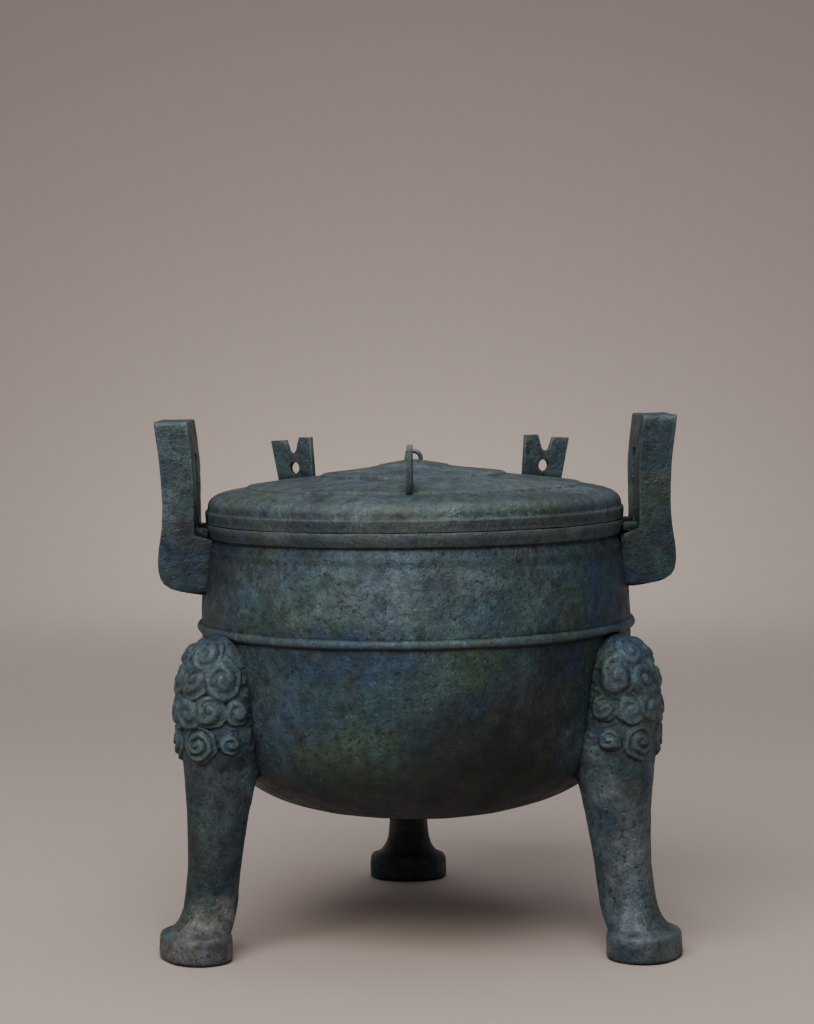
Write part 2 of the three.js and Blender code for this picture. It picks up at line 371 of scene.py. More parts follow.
def leaned(made):
    """Leaned to -X as the whole casting is."""
    spin(made, LEAN, axis=1, pivot_z=LEAN_PIVOT_Z)
    return made


def spin(made, angle, axis, pivot_z):
    """Turns a mesh about X, Y or Z (0, 1 or 2) through the point at this height on the upright axis."""
    points = coordinates(made)
    points[:, 2] -= pivot_z
    i, j = ((1, 2), (2, 0), (0, 1))[axis]
    a, b = points[:, i].copy(), points[:, j].copy()
    points[:, i] = a * math.cos(angle) - b * math.sin(angle)
    points[:, j] = a * math.sin(angle) + b * math.cos(angle)
    points[:, 2] += pivot_z
    move_to(made, points)


def coordinates(made):
    points = np.empty(len(made.data.vertices) * 3)
    made.data.vertices.foreach_get("co", points)
    return points.reshape(-1, 3)


def move_to(made, points):
    made.data.vertices.foreach_set("co", points.ravel())
    made.data.update()


def combine(target, others, operation):
    """Joins the others to the target, or cuts them out of it, and deletes them."""
    for other in others:
        boolean = target.modifiers.new(operation, "BOOLEAN")
        boolean.operation = operation
        boolean.solver = "MANIFOLD"
        boolean.object = other
        graph = bpy.context.evaluated_depsgraph_get()
        mesh = bpy.data.meshes.new_from_object(target.evaluated_get(graph))
        target.modifiers.clear()
        target.data = mesh
        bpy.data.objects.remove(other)
    return target


def belly(radius, bottom, steps):
    """Radius and height from next to the axis out to the widest point, on a superellipse."""
    angle = np.linspace(0, np.pi / 2, steps + 1)[1:]
    r = radius * np.sin(angle) ** (2 / BELLY_ROUND)
    z = BELLY_TOP - (BELLY_TOP - bottom) * np.abs(np.cos(angle)) ** (2 / BELLY_FLAT)
    return np.stack([r, z], axis=-1).tolist()


def bowl_outside():
    """The bowl's outer surface, closed across the mouth: belly, raised band, neck, rim and inner lip."""
    profile = [(AXIS_GAP, BELLY_BOTTOM)] + belly(BODY_R, BELLY_BOTTOM, BELLY_STEPS)
    for angle in np.linspace(-np.pi / 2, np.pi / 2, BAND_STEPS + 1):
        out = max(BAND_PROUD * math.cos(angle), 0) ** BAND_POWER
        profile.append((BODY_R - BAND_SUNK + out, BAND_Z + BAND_HALF * math.sin(angle)))
    for share in np.linspace(0, 1, NECK_STEPS + 1)[1:]:
        height = BAND_Z + BAND_HALF + share * (NECK_TOP - BAND_Z - BAND_HALF)
        undercut = RIM_UNDERCUT * max(0, share - UNDERCUT_FROM) / (1 - UNDERCUT_FROM)
        profile.append((BODY_R - (BODY_R - NECK_R) * share**NECK_POWER - undercut, height))
    profile += [
        (NECK_R - RIM_UNDERCUT + 0.3, RIM_LOW - 0.5),
        (RIM_R - RIM_SLANT - RIM_EDGE, RIM_LOW),
        (RIM_R - RIM_SLANT - 0.3, RIM_LOW + 0.5),
        (RIM_R - RIM_SLANT + 0.2, RIM_LOW + RIM_EDGE + 0.4),
        (RIM_R - RIM_SLANT / 3, (RIM_LOW + RIM_TOP) / 2),
        (RIM_R, RIM_TOP - RIM_EDGE - 0.8),
        (RIM_R - 0.4, RIM_TOP - 0.5),
        (RIM_R - RIM_EDGE, RIM_TOP),
        (LIP_R + 0.4, RIM_TOP),
        (LIP_R - 0.4, LIP_TOP - 0.6),
        (LIP_R - 1.2, LIP_TOP),
        (AXIS_GAP, LIP_TOP),
    ]
    made = revolve("vessel", profile, BOWL_AROUND)
    uneven(made, BOWL_UNEVEN, (3.0, 5.0))
    return made


def bowl_inside():
    """The hollow that is cut out of the bowl. It goes on past the lip."""
    floor_z = BELLY_BOTTOM + WALL
    profile = [(AXIS_GAP, floor_z)] + belly(BODY_R - WALL, floor_z, BELLY_INSIDE_STEPS)
    profile += [(BODY_R - WALL - drawn_in, height) for drawn_in, height in NECK_INSIDE]
    profile += [
        (NECK_R - WALL, RIM_LOW - WALL),
        (LIP_R - LIP_THICK, RIM_TOP - 4),
        (LIP_R - LIP_THICK, LIP_TOP + 2),
        (AXIS_GAP, LIP_TOP + 2),
    ]
    return revolve("bowl_inside", profile, BOWL_INSIDE_AROUND)


def leg_section(angle):
    """Unit superellipse: out along +X at angle 0."""
    c, s = np.cos(angle), np.sin(angle)
    x = np.sign(c) * np.abs(c) ** (2 / LEG_SQUARE)
    y = np.sign(s) * np.abs(s) ** (2 / LEG_SQUARE)
    return x, y


def leg_surface(angle, heights, girth=1.0):
    """Points of the plain leg at these angles and heights. Its outer face is the same for any girth."""
    outer, inner, half = np.moveaxis(monotone(LEG_ROWS, heights), -1, 0)
    inner = outer - (outer - inner) * girth
    half = half * girth
    x, y = leg_section(angle)
    return np.stack([(outer + inner) / 2 + x * (outer - inner) / 2, y * half, heights + 0 * x], axis=-1)


def leg(name, lobe_height, mask_lift, girth, seed):
    """One leg along +X: the plain loft, and the mask's lobes raised on its upper outer side."""
    heights = np.concatenate([
        np.linspace(low, high, count, endpoint=False) for low, high, count in LEG_STRETCHES
    ] + [[LEG_ROWS[-1, 0]]])
    # Columns lie closer together on the outer side, where the mask is
    even = np.linspace(-np.pi, np.pi, LEG_COLUMNS, endpoint=False)
    angle = even - LEG_CROWDING * np.sin(even)
    angles, levels = np.meshgrid(angle, heights)
    grid = leg_surface(angles, levels, girth)
    round_side = np.abs(np.degrees(angles))
    strip = faded(round_side - ROUGH_FROM) * faded(ROUGH_TO - round_side)
    strip *= faded(levels - ROUGH_LOW) * faded(ROUGH_TOP - levels)
    grid += mask_relief(grid, lobe_height, mask_lift, strip)
    made = capped(name, grid)
    uneven(made, LEG_UNEVEN, (seed, seed + 2))
    return made


def faded(inside):
    """1 well inside an edge and 0 beyond it, fading over ROUGH_FADE."""
    return np.clip(inside / ROUGH_FADE, 0, 1)


def mask_relief(grid, lobe_height, mask_lift, strip):
    """How far the mask's lobes and its rough strip stand out of the leg, as a vector for each point."""
    across = np.roll(grid, -1, axis=1) - np.roll(grid, 1, axis=1)
    up = np.gradient(grid, axis=0)
    normal = np.cross(across, up)
    normal /= np.linalg.norm(normal, axis=-1, keepdims=True) + 1e-9
    height = np.zeros(grid.shape[:2])
    wavering = grid.copy()
    for row, column in np.ndindex(height.shape):
        if grid[row, column, 2] > MASK_LOW:
            drift = noise.noise_vector(Vector(grid[row, column]) / WAVER_SIZE)
            wavering[row, column] += WAVER * np.array(drift)
    for degrees, z, radius, tall, turns, winds in LOBES:
        for side in (-1, 1):
            place = side * math.radians(degrees)
            raised = lobe(wavering, place, z + mask_lift, radius, tall, turns, side * winds)
            height = np.maximum(height, raised * lobe_height)
    for row, column in zip(*np.nonzero(strip > 0)):
        bump = noise.noise(Vector(grid[row, column]) / ROUGH_SIZE)
        height[row, column] = max(height[row, column], ROUGH_DEPTH * strip[row, column] * (0.5 + bump))
    return normal * height[..., None]


def lobe(grid, angle, z, radius, tall, turns, winds):
    """One drooping boss with a curl sunk in it: each point's height, as a share of the lobes' height."""
    middle = leg_surface(np.array(angle), np.array(float(z)))
    beside = leg_surface(np.array(angle + NUDGE), np.array(float(z)))
    along = beside - middle
    along /= np.linalg.norm(along)
    outward = np.array([along[1], -along[0], 0.0])
    away = grid - middle
    u = away @ along / radius
    v = away[..., 2] / (tall * radius)
    q = np.clip(np.hypot(u, v), 0, 1)
    boss = np.sqrt(1 - q**LOBE_SWELL) * (1 - LOBE_DROOP * v)
    turn = np.arctan2(v, u) / (2 * np.pi)
    wave = 0.5 + 0.5 * np.cos(2 * np.pi * (turns * q * CURL_SPREAD - winds * turn))
    inside = np.clip(q * CURL_FADE, 0, 1) * np.clip((CURL_EDGE - q) * CURL_FADE, 0, 1)
    facing = np.clip((away @ outward + radius * FACING_REACH) / (radius * FACING_FADE), 0, 1)
    return (boss - CURL_DEPTH * wave**CURL_SHARPNESS * inside) * facing


def corner_arc(middle, radius, start):
    """Points round a quarter circle, from this many quarter turns."""
    angles = (start + np.linspace(0, 1, CORNER_STEPS + 1)) * np.pi / 2
    return np.stack([middle[0] + radius * np.cos(angles), middle[1] + radius * np.sin(angles)], axis=-1)


def rounded_box(low, high, corner, steps):
    """Points round a rounded rectangle, its upright and level sides divided into these numbers of steps."""
    inner_low, inner_high = np.add(low, corner), np.subtract(high, corner)
    arcs = [
        corner_arc((inner_high[0], inner_low[1]), corner, -1),
        corner_arc(inner_high, corner, 0),
        corner_arc((inner_low[0], inner_high[1]), corner, 1),
        corner_arc(inner_low, corner, 2),
    ]
    points = []
    for i, arc in enumerate(arcs):
        count = steps[i % 2]
        share = np.arange(1, count)[:, None] / count
        following = arcs[(i + 1) % 4][0]
        points += [arc, arc[-1] + (following - arc[-1]) * share]
    return np.concatenate(points)


def ear(name, aside, lift, seed):
    """One ear at +X: a flat frame round its slot, on one all-quad grid with softly rounded edges."""
    rows = EAR_ROWS.copy()
    rows[:, 0] += lift * np.clip((EAR_BEND_Z - rows[:, 0]) / (EAR_BEND_Z - rows[0, 0]), 0, 1)
    low, top = rows[0, 0], rows[-1, 0]
    steps = (SIDE_STEPS, TOP_STEPS)
    slot = rounded_box((-SLOT_HALF, SLOT_LOW), (SLOT_HALF, SLOT_TOP), SLOT_CORNER, steps)
    outline = rounded_box((-EAR_HALF, low), (EAR_HALF, top), EAR_CORNER, steps)
    # The section: x runs from the slot to the outline, y from the inner to the outer face. Its corners are
    # first drawn in a square of 100, so that each point's share of the way and its own offset are known
    square = 100.0
    section = rounded_box((0, 0), (square, square), EAR_EDGE, (THROUGH_STEPS, MEMBER_STEPS))
    gap = outline - slot
    length = np.linalg.norm(gap, axis=-1, keepdims=True)
    across = edged(section[:, 0], square, length)
    flat = slot[:, None, :] + across[..., None] * gap[:, None, :] / length[..., None]
    outer, inner = np.moveaxis(monotone(rows, flat[..., 1]), -1, 0)
    x = inner + edged(section[:, 1], square, outer - inner) + aside
    points = np.stack([x, flat[..., 0], flat[..., 1]], axis=-1).reshape(-1, 3)
    made = solid(name, points, ring_faces(len(outline), len(section), wrap_rows=True))
    uneven(made, EAR_UNEVEN, (seed, seed + 2))
    return made


def edged(at, square, length):
    """Stretches a side of the square to this length, and leaves its rounded ends as they are."""
    flat = (length - 2 * EAR_EDGE) / (square - 2 * EAR_EDGE)
    middle = EAR_EDGE + (np.clip(at, EAR_EDGE, square - EAR_EDGE) - EAR_EDGE) * flat
    return middle + np.minimum(at - EAR_EDGE, 0) + np.maximum(at - square + EAR_EDGE, 0)


def bar(name, size, middle, edge):
    """A box with rounded edges."""
    work = bmesh.new()
    bmesh.ops.create_cube(work, size=1.0)
    for vertex in work.verts:
        vertex.co = Vector([vertex.co[i] * size[i] + middle[i] for i in range(3)])
    bmesh.ops.bevel(work, geom=work.edges[:], offset=edge, segments=3, affect="EDGES", profile=0.5)
    mesh = bpy.data.meshes.new(name)
    work.to_mesh(mesh)
    work.free()
    made = bpy.data.objects.new(name, mesh)
    bpy.context.scene.collection.objects.link(made)
    return made


def vessel():
    """The vessel: the bowl's outside with ears and legs joined on, and then hollowed."""
    made = bowl_outside()
    extra = []
    for azimuth, aside, lift, seed in EARS:
        spun = math.radians(azimuth) + EAR_TURN
        extra.append(turned(ear(f"ear_{azimuth}", aside, lift, seed), spun))
        for side in (-1, 1):
            middle = (STUB_AT[0], side * STUB_AT[1], STUB_AT[2])
            extra.append(turned(bar("stub", STUB_SIZE, middle, STUB_EDGE), spun))
    combine(made, extra, "UNION")
    leaned(made)
    legs = []
    # Without a seed, noise_vector would take its pattern from the clock
    noise.seed_set(WAVER_SEED)
    for azimuth, lobe_height, mask_lift, girth, aside in LEGS:
        made_leg = leg(f"leg_{azimuth:.0f}", lobe_height, mask_lift, girth, azimuth / 5)
        turned(made_leg, math.radians(azimuth))
        points = coordinates(made_leg)
        points[:, 0] += aside * np.clip(1 - points[:, 2] / FOOT_BEND_Z, 0, 1)
        move_to(made_leg, points)
        legs.append(made_leg)
    combine(made, legs, "UNION")
    combine(made, [leaned(bowl_inside())], "DIFFERENCE")
    return made


def fin(name, higher):
    """An upright radial plate of the lid at +X: a notched, pierced outline with softened edges."""
    outline = [
        (FIN_INNER_LOW, FIN_ROOT),
        (FIN_OUTER_LOW, FIN_ROOT),
        (FIN_OUTER_TOP, FIN_TOP_OUTER),
        (NOTCH_R + NOTCH_HALF_TOP, FIN_TOP_OUTER + 1),
    ]
    for step in range(NOTCH_STEPS + 1):
        angle = math.pi * step / NOTCH_STEPS
        outline.append((
            NOTCH_R + NOTCH_HALF_BOTTOM * math.cos(angle),
            NOTCH_BOTTOM + NOTCH_HALF_BOTTOM * (1 - math.sin(angle)),
        ))
    outline += [(NOTCH_R - NOTCH_HALF_TOP, FIN_TOP_INNER), (FIN_INNER_TOP, FIN_TOP_INNER)]
    hole = []
    for step in range(HOLE_STEPS):
        angle = 2 * math.pi * step / HOLE_STEPS
        hole.append((HOLE_AT[0] + HOLE_R * math.cos(angle), HOLE_AT[1] + HOLE_R * math.sin(angle)))
    curve = bpy.data.curves.new(name, "CURVE")
    curve.dimensions = "2D"
    curve.fill_mode = "BOTH"
    curve.extrude = FIN_THICK / 2 - FIN_BEVEL
    curve.bevel_depth = FIN_BEVEL
    curve.bevel_resolution = 2
    curve.offset = -FIN_BEVEL
    for loop_points in (outline, hole):
        spline = curve.splines.new("POLY")
        spline.points.add(len(loop_points) - 1)
        for point, (x, z) in zip(spline.points, loop_points):
            point.co = (x, z, 0, 1)
        spline.use_cyclic_u = True
    holder = bpy.data.objects.new(name, curve)
    bpy.context.scene.collection.objects.link(holder)
    mesh = bpy.data.meshes.new_from_object(holder.evaluated_get(bpy.context.evaluated_depsgraph_get()))
    bpy.data.objects.remove(holder)
    work = bmesh.new()
    work.from_mesh(mesh)
    for vertex in work.verts:
        x, z, y = vertex.co
        vertex.co = (x, -y, z + higher)
    bmesh.ops.remove_doubles(work, verts=work.verts, dist=0.01)
    work.to_mesh(mesh)
    work.free()
    made = bpy.data.objects.new(name, mesh)
    bpy.context.scene.collection.objects.link(made)
    face_out(made)
    return made


def apex_loop():
    """The small upright ring on the lid's apex."""
    u = np.linspace(0, 2 * np.pi, LOOP_AROUND, endpoint=False)[:, None]
    v = np.linspace(0, 2 * np.pi, LOOP_SECTION, endpoint=False)[None, :]
    ring = LOOP_R + LOOP_WIRE * np.cos(v)
    points = np.stack([ring * np.cos(u), LOOP_WIRE * np.sin(v) + 0 * u, ring * np.sin(u) + LOOP_Z], axis=-1)
    return solid("loop", points.reshape(-1, 3), ring_faces(LOOP_AROUND, LOOP_SECTION, wrap_rows=True))


def lid():
    """The lid: one profile up its inside, round its foot and over its outside, with plates and loop."""
    inner = LID_R - LID_WALL
    profile = list(LID_INNER) + [(inner, height) for height in LID_INNER_SIDE]
    profile += [
        (inner, LID_FOOT + 0.8),
        (inner + 0.8, LID_FOOT),
        (LID_R - 1.4, LID_FOOT),
        (LID_R - 0.6, LID_FOOT + 0.3),
        (LID_R - 0.3, LID_FOOT + 1),
    ]
    profile += list(LID_OUTER) + [(LID_TIP_R, LID_APEX)]
    made = revolve("lid", densified(profile, LID_STRETCH), LID_AROUND)
    uneven(made, LID_UNEVEN, (13.0, 17.0))
    raised = []
    for azimuth, higher in FINS:
        raised.append(turned(fin(f"fin_{azimuth:.0f}", higher), math.radians(azimuth)))
    raised.append(apex_loop())
    combine(made, raised, "UNION")
    return leaned(turned(made, LID_TURN))


def densified(profile, longest):
    """The same profile with long stretches divided."""
    points = [profile[0]]
    for start, end in zip(profile, profile[1:]):
        length = math.dist(start, end)
        count = max(1, math.ceil(length / longest))
        for i in range(1, count + 1):
            points.append(tuple(np.array(start) + (np.array(end) - np.array(start)) * i / count))
    return points


def middle_of(points):
    """The middle of the box round the points."""
    return (points.min(axis=0) + points.max(axis=0)) / 2


# Materials

PATCH_CORE = 0.3                   # share of a patch's radius that has its full strength
BAND_CORE = 0.6                    # and of a band's half height
SWIRL = 0.12                       # strength, in metres, of the noise that pulls patches out of shape
METALLIC = 0.25                    # a thick patina hides most of the metal
TINT_SHARE = 0.28                  # strength of the small clouds of tint
# Each small cloud of tint: colour, scale of the noise, offset of its pattern
TINT_CLOUDS = (("tint_blue", 17, 21.0), ("tint_green", 20, 33.0), ("tint_brown", 26, 45.0))


def node(tree, kind, settings=None, inputs=None):
    made = tree.nodes.new(kind)
    for key, value in (settings or {}).items():
        setattr(made, key, value)
    for key, value in (inputs or {}).items():
        if isinstance(value, bpy.types.NodeSocket):
            tree.links.new(value, made.inputs[key])
        else:
            made.inputs[key].default_value = value
    return made


def srgb(red, green, blue):
    def linear(value):
        value /= 255
        return value / 12.92 if value <= 0.04045 else ((value + 0.055) / 1.055) ** 2.4
    return (linear(red), linear(green), linear(blue), 1.0)


def mottle(tree, place, scale, detail, roughness, low, high, offset=0.0):
    """Noise sharpened to a 0 to 1 mask between two levels. The offset gives each mask its own pattern."""
    shifted = node(tree, "ShaderNodeVectorMath", {"operation": "ADD"}, {0: place, 1: (offset,) * 3})
    cloud = cloudy(tree, shifted.outputs[0], scale, detail, roughness).outputs["Fac"]
    return ranged(tree, cloud, (low, high, 0, 1), smooth=True)


def blend_colour(tree, share, first, second):
    """From the first colour at share 0 to the second at 1. A Mix node has its colours at inputs 6 and 7."""
    mix = node(tree, "ShaderNodeMix", {"data_type": "RGBA"}, {0: share, 6: first, 7: second})
    return mix.outputs[2]


def lit(tree, colour, lightness):
    """The colour times a lightness."""
    brighter = node(tree, "ShaderNodeVectorMath", {"operation": "SCALE"}, {0: colour, "Scale": lightness})
    return brighter.outputs[0]


def cloudy(tree, place, scale, detail, roughness):
    return node(tree, "ShaderNodeTexNoise", None, {
        "Vector": place, "Scale": scale, "Detail": detail, "Roughness": roughness,
    })


def ranged(tree, value, limits, smooth=False):
    """Maps a value from the first two limits to the last two."""
    sockets = dict(zip(("From Min", "From Max", "To Min", "To Max"), limits))
    settings = {"interpolation_type": "SMOOTHSTEP"} if smooth else None
    return node(tree, "ShaderNodeMapRange", settings, {"Value": value, **sockets}).outputs["Result"]


def scaled(tree, value, factor):
    return node(tree, "ShaderNodeMath", {"operation": "MULTIPLY"}, {0: value, 1: factor}).outputs[0]


def patch(tree, place, centre, radius, share):
    """A soft-edged ball of influence round a point given in millimetres."""
    away = node(tree, "ShaderNodeVectorMath", {"operation": "DISTANCE"}, {
        0: place, 1: tuple(np.multiply(centre, MM)),
    })
    limits = (radius * MM, PATCH_CORE * radius * MM, 0, share)
    return ranged(tree, away.outputs["Value"], limits, smooth=True)


def band(tree, height, middle, half, share):
    """A soft-edged level band of influence, given in millimetres."""
    off = node(tree, "ShaderNodeMath", {"operation": "SUBTRACT"}, {0: height, 1: middle * MM}).outputs[0]
    away = node(tree, "ShaderNodeMath", {"operation": "ABSOLUTE"}, {0: off}).outputs[0]
    return ranged(tree, away, (half * MM, BAND_CORE * half * MM, 0, share), smooth=True)


def patina(name, colours, patches, bands):
    """Old bronze: a mottled skin with soft patches, pale speckle painted as tiny highlights, painted shade
    on what faces down and in the hollows, grain and pits.
    """
    material = bpy.data.materials.new(name)
    material.use_nodes = True
    tree = material.node_tree
    shader = tree.nodes["Principled BSDF"]
    place = node(tree, "ShaderNodeTexCoord").outputs["Object"]

    paler = mottle(tree, place, scale=11, detail=6, roughness=0.62, low=0.42, high=0.66)
    colour = blend_colour(tree, paler, colours["base"], colours["pale"])
    greener = mottle(tree, place, scale=9, detail=6, roughness=0.62, low=0.5, high=0.68, offset=4.1)
    colour = blend_colour(tree, scaled(tree, greener, 0.7), colour, colours["green"])

    # Patches and bands, with their edges pulled about by noise
    swirl = cloudy(tree, place, scale=22.0, detail=5.0, roughness=0.65).outputs["Color"]
    warped = node(tree, "ShaderNodeVectorMath", {"operation": "MULTIPLY_ADD"}, {
        0: swirl, 1: (SWIRL,) * 3, 2: place,
    }).outputs[0]
    centred = node(tree, "ShaderNodeVectorMath", {"operation": "SUBTRACT"}, {
        0: warped, 1: (SWIRL / 2,) * 3,
    }).outputs[0]
    # Among the patches is one of painted shade, on the back leg under the belly
    for key, centre, radius, share in patches:
        colour = blend_colour(tree, patch(tree, centred, centre, radius, share), colour, colours[key])
    height = node(tree, "ShaderNodeSeparateXYZ", None, {0: place}).outputs["Z"]
    # The vessel's band just under the rim is painted shade
    for key, middle, half, share in bands:
        colour = blend_colour(tree, band(tree, height, middle, half, share), colour, colours[key])
    darker = mottle(tree, place, scale=30, detail=6, roughness=0.7, low=0.5, high=0.7, offset=9.3)
    colour = blend_colour(tree, scaled(tree, darker, 0.5), colour, colours["dark"])

    # Small clouds of other tints, then light and dark shading of whatever lies below
    for key, scale, offset in TINT_CLOUDS:
        cloud = mottle(tree, place, scale, detail=4, roughness=0.5, low=0.48, high=0.62, offset=offset)
        colour = blend_colour(tree, scaled(tree, cloud, TINT_SHARE), colour, colours[key])
    shading = cloudy(tree, place, scale=95.0, detail=6.0, roughness=0.68).outputs["Fac"]
    colour = lit(tree, colour, ranged(tree, shading, (0.3, 0.7, 0.5, 1.6)))

    # Fine pale speckle, thicker in some places than in others, painted as tiny highlights, and dark specks
    crowded = mottle(tree, place, scale=34, detail=4, roughness=0.6, low=0.38, high=0.62, offset=12.4)
    glint_dots = mottle(tree, place, scale=430, detail=5, roughness=0.7, low=0.50, high=0.68, offset=2.2)
    painted_glints = node(tree, "ShaderNodeMath", {"operation": "MULTIPLY"}, {0: glint_dots, 1: crowded}).outputs[0]
    colour = lit(tree, colour, ranged(tree, painted_glints, (0, 1, 1, 1.9)))
    specks = mottle(tree, place, scale=240, detail=4, roughness=0.65, low=0.53, high=0.68, offset=6.6)
    colour = blend_colour(tree, scaled(tree, specks, 0.75), colour, colours["dark"])

    # Worn edges, then painted shade on what faces down and in the hollows
    geometry = node(tree, "ShaderNodeNewGeometry")
    worn = ranged(tree, geometry.outputs["Pointiness"], (0.51, 0.57, 0, 0.55))
    colour = blend_colour(tree, worn, colour, colours["fleck"])
    # Painted shade: faces that turn down are darkened towards near-black, where shade falls under the belly,
    # the rim and the band
    upright = node(tree, "ShaderNodeSeparateXYZ", None, {0: geometry.outputs["Normal"]}).outputs["Z"]
    painted_shade = ranged(tree, upright, (-0.1, -0.8, 0, 0.75), smooth=True)
    colour = blend_colour(tree, painted_shade, colour, colours["painted_shade"])
    # Painted shade: the ambient occlusion node darkens hollows, creases and the gaps between parts, where
    # shade falls
    hidden = node(tree, "ShaderNodeAmbientOcclusion", {"samples": 6}, {"Distance": 0.014}).outputs["AO"]
    crevice_shade = ranged(tree, hidden, (0.8, 0.3, 0, 0.85))
    colour = blend_colour(tree, crevice_shade, colour, colours["painted_shade"])
    tree.links.new(colour, shader.inputs["Base Color"])

    gloss = mottle(tree, place, scale=40, detail=5, roughness=0.6, low=0.35, high=0.7, offset=1.7)
    tree.links.new(ranged(tree, gloss, (0, 1, 0.42, 0.68)), shader.inputs["Roughness"])
    shader.inputs["Metallic"].default_value = METALLIC

    # Grain, pits and lumps, each bump on top of the one before
    grain = cloudy(tree, place, scale=330.0, detail=5.0, roughness=0.65).outputs["Fac"]
    pits = mottle(tree, place, scale=190, detail=3, roughness=0.55, low=0.30, high=0.46, offset=7.9)
    lumps = cloudy(tree, place, scale=75.0, detail=4.0, roughness=0.6).outputs["Fac"]
    bump = {}
    for relief, strength, distance in ((grain, 0.6, 0.0016), (pits, 0.45, 0.0012), (lumps, 0.6, 0.0030)):
        made = node(tree, "ShaderNodeBump", None, {
            "Height": relief, "Strength": strength, "Distance": distance, **bump,
        })
        bump = {"Normal": made.outputs[0]}
    tree.links.new(bump["Normal"], shader.inputs["Normal"])
    return material


def plain(name, colour, roughness):
    material = bpy.data.materials.new(name)
    material.use_nodes = True
    shader = material.node_tree.nodes["Principled BSDF"]
    shader.inputs["Base Color"].default_value = colour
    shader.inputs["Roughness"].default_value = roughness
    return material


# The two castings

SHARP_EDGE = 40                    # degrees past which an edge is shaded sharp


def finished(made, material):
    """Scales a casting to metres in the frame, shades it and gives it its material."""
    move_to(made, (coordinates(made) + shift) * MM)
    made.data.shade_smooth()
    made.data.set_sharp_from_angle(angle=math.radians(SHARP_EDGE))
    made.data.materials.clear()
    made.data.materials.append(material)


vessel_piece = vessel()
vessel_piece.name = "vessel_cast"
lid_piece = lid()
lid_piece.name = "lid_cast"
lid_box = np.array(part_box("lid")) / MM
shift = middle_of(lid_box) - middle_of(coordinates(lid_piece))
shift[2] = 0.0

# Patches of patina, and one of painted shade: colour, centre in millimetres in the frame, radius, strength
VESSEL_PATCHES = (
    ("green", (-62, -229, 215), 90, 1.0),
    ("green", (61, -236, 272), 65, 0.9),
    ("green", (-3, -243, 256), 50, 0.35),
    ("green", (-142, -187, 316), 50, 0.8),
    ("green", (-98, -213, 322), 45, 0.85),
    ("green", (117, -207, 354), 75, 0.6),
    ("green", (24, -242, 325), 60, 0.35),
    ("blue", (183, -143, 333), 85, 0.9),
    ("blue", (-115, -208, 270), 90, 0.75),
    ("blue", (-40, -238, 287), 80, 0.5),
    ("dark", (75, -213, 200), 130, 1.0),
    ("dark", (150, -186, 269), 80, 0.8),
    ("dark", (-192, -111, 350), 90, 0.4),
    ("pale", (-40, -235, 370), 90, 0.75),
    ("dark", (-200, -150, 110), 90, 0.6),
    ("ash", (215, -155, 110), 80, 0.3),
    ("pale", (-225, -150, 250), 90, 0.45),
    ("pale", (225, -150, 250), 90, 0.25),
    ("pale", (-150, -190, 240), 70, 0.35),
    ("green", (235, -30, 440), 110, 0.75),
    ("dark", (240, -80, 370), 80, 0.6),
    ("dark", (235, -80, 460), 90, 0.5),
    ("ash", (-204, -165, 8), 66, 1.0),
    ("ash", (219, -150, 8), 62, 0.35),
    # Painted shade: the back leg darkened where it stands in the shade under the belly
    ("painted_shade", (0, 150, 60), 120, 0.85),
    ("green", (150, 190, 250), 110, 0.7),
    ("blue", (-160, 180, 300), 120, 0.7),
    ("green", (-230, 20, 450), 90, 0.4),
)
LID_PATCHES = (
    ("green", (-150, -140, 430), 70, 0.8),
    ("pale", (120, -130, 435), 80, 0.8),
    ("pale", (-90, -120, 440), 80, 0.4),
    ("green", (90, -190, 412), 60, 0.6),
    ("dark", (-90, -200, 411), 50, 0.6),
    ("dark", (150, -170, 414), 70, 0.6),
    ("green", (60, 60, 450), 90, 0.5),
    ("pale", (20, -120, 450), 90, 0.5),
)
# Level bands of colour: colour, middle height, half height, strength
# On the vessel, the band at 387 is painted shade under the rim, and the band at 401 darkens the rim itself
VESSEL_BANDS = (("dark", 401, 11, 0.4), ("dark", 387, 14, 0.45))
# The lid's band is patina on its side
LID_BANDS = (("dark", 414, 8, 0.4),)
SHARED_COLOURS = {
    "tint_blue": srgb(30, 60, 92),
    "tint_green": srgb(56, 80, 52),
    "tint_brown": srgb(66, 63, 58),
    # Near-black of painted shade: on faces that turn down, in the hollows and on the back leg under the
    # belly
    "painted_shade": srgb(9, 11, 12),
}
VESSEL_COLOURS = {
    "dark": srgb(15, 27, 36),
    "base": srgb(45, 67, 81),
    "pale": srgb(85, 105, 116),
    "green": srgb(56, 84, 74),
    "blue": srgb(32, 59, 88),
    "ash": srgb(112, 112, 108),
    "fleck": srgb(120, 134, 134),
    **SHARED_COLOURS,
}
LID_COLOURS = {
    "dark": srgb(28, 38, 46),
    "base": srgb(63, 80, 90),
    "pale": srgb(94, 109, 114),
    "green": srgb(66, 86, 72),
    "fleck": srgb(128, 142, 141),
    **SHARED_COLOURS,
}
vessel_bronze = patina("vessel_bronze", VESSEL_COLOURS, VESSEL_PATCHES, VESSEL_BANDS)
lid_bronze = patina("lid_bronze", LID_COLOURS, LID_PATCHES, LID_BANDS)
finished(vessel_piece, vessel_bronze)
finished(lid_piece, lid_bronze)
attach(vessel_piece, "root")
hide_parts("vessel")
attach(lid_piece, "root")
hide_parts("lid")


# The studio: a round pale floor that sweeps up all round, soft lamps and the camera. In metres

FLOOR_FLAT = 3.4                   # radius of the level floor round the object
SWEEP = 3.0                        # radius of the curve up to the wall
WALL_HEIGHT = 4.5
FLOOR_RINGS = (0.001, 0.8, 1.6, FLOOR_FLAT)
FLOOR_AROUND = 96
SWEEP_STEPS = 16
BACK_LAMPS = 6                     # lamps that light the sweep, and where they hang and aim
BACK_LAMP_R = 2.6
BACK_LAMP_Z = 2.4
BACK_TARGET_R = 5.2
BACK_TARGET_Z = 0.3
BACK_POWER = 7
BACK_SIZE = (1.6, 0.8)
SIDE_POWER = 4
WARM = (1.0, 0.95, 0.91)
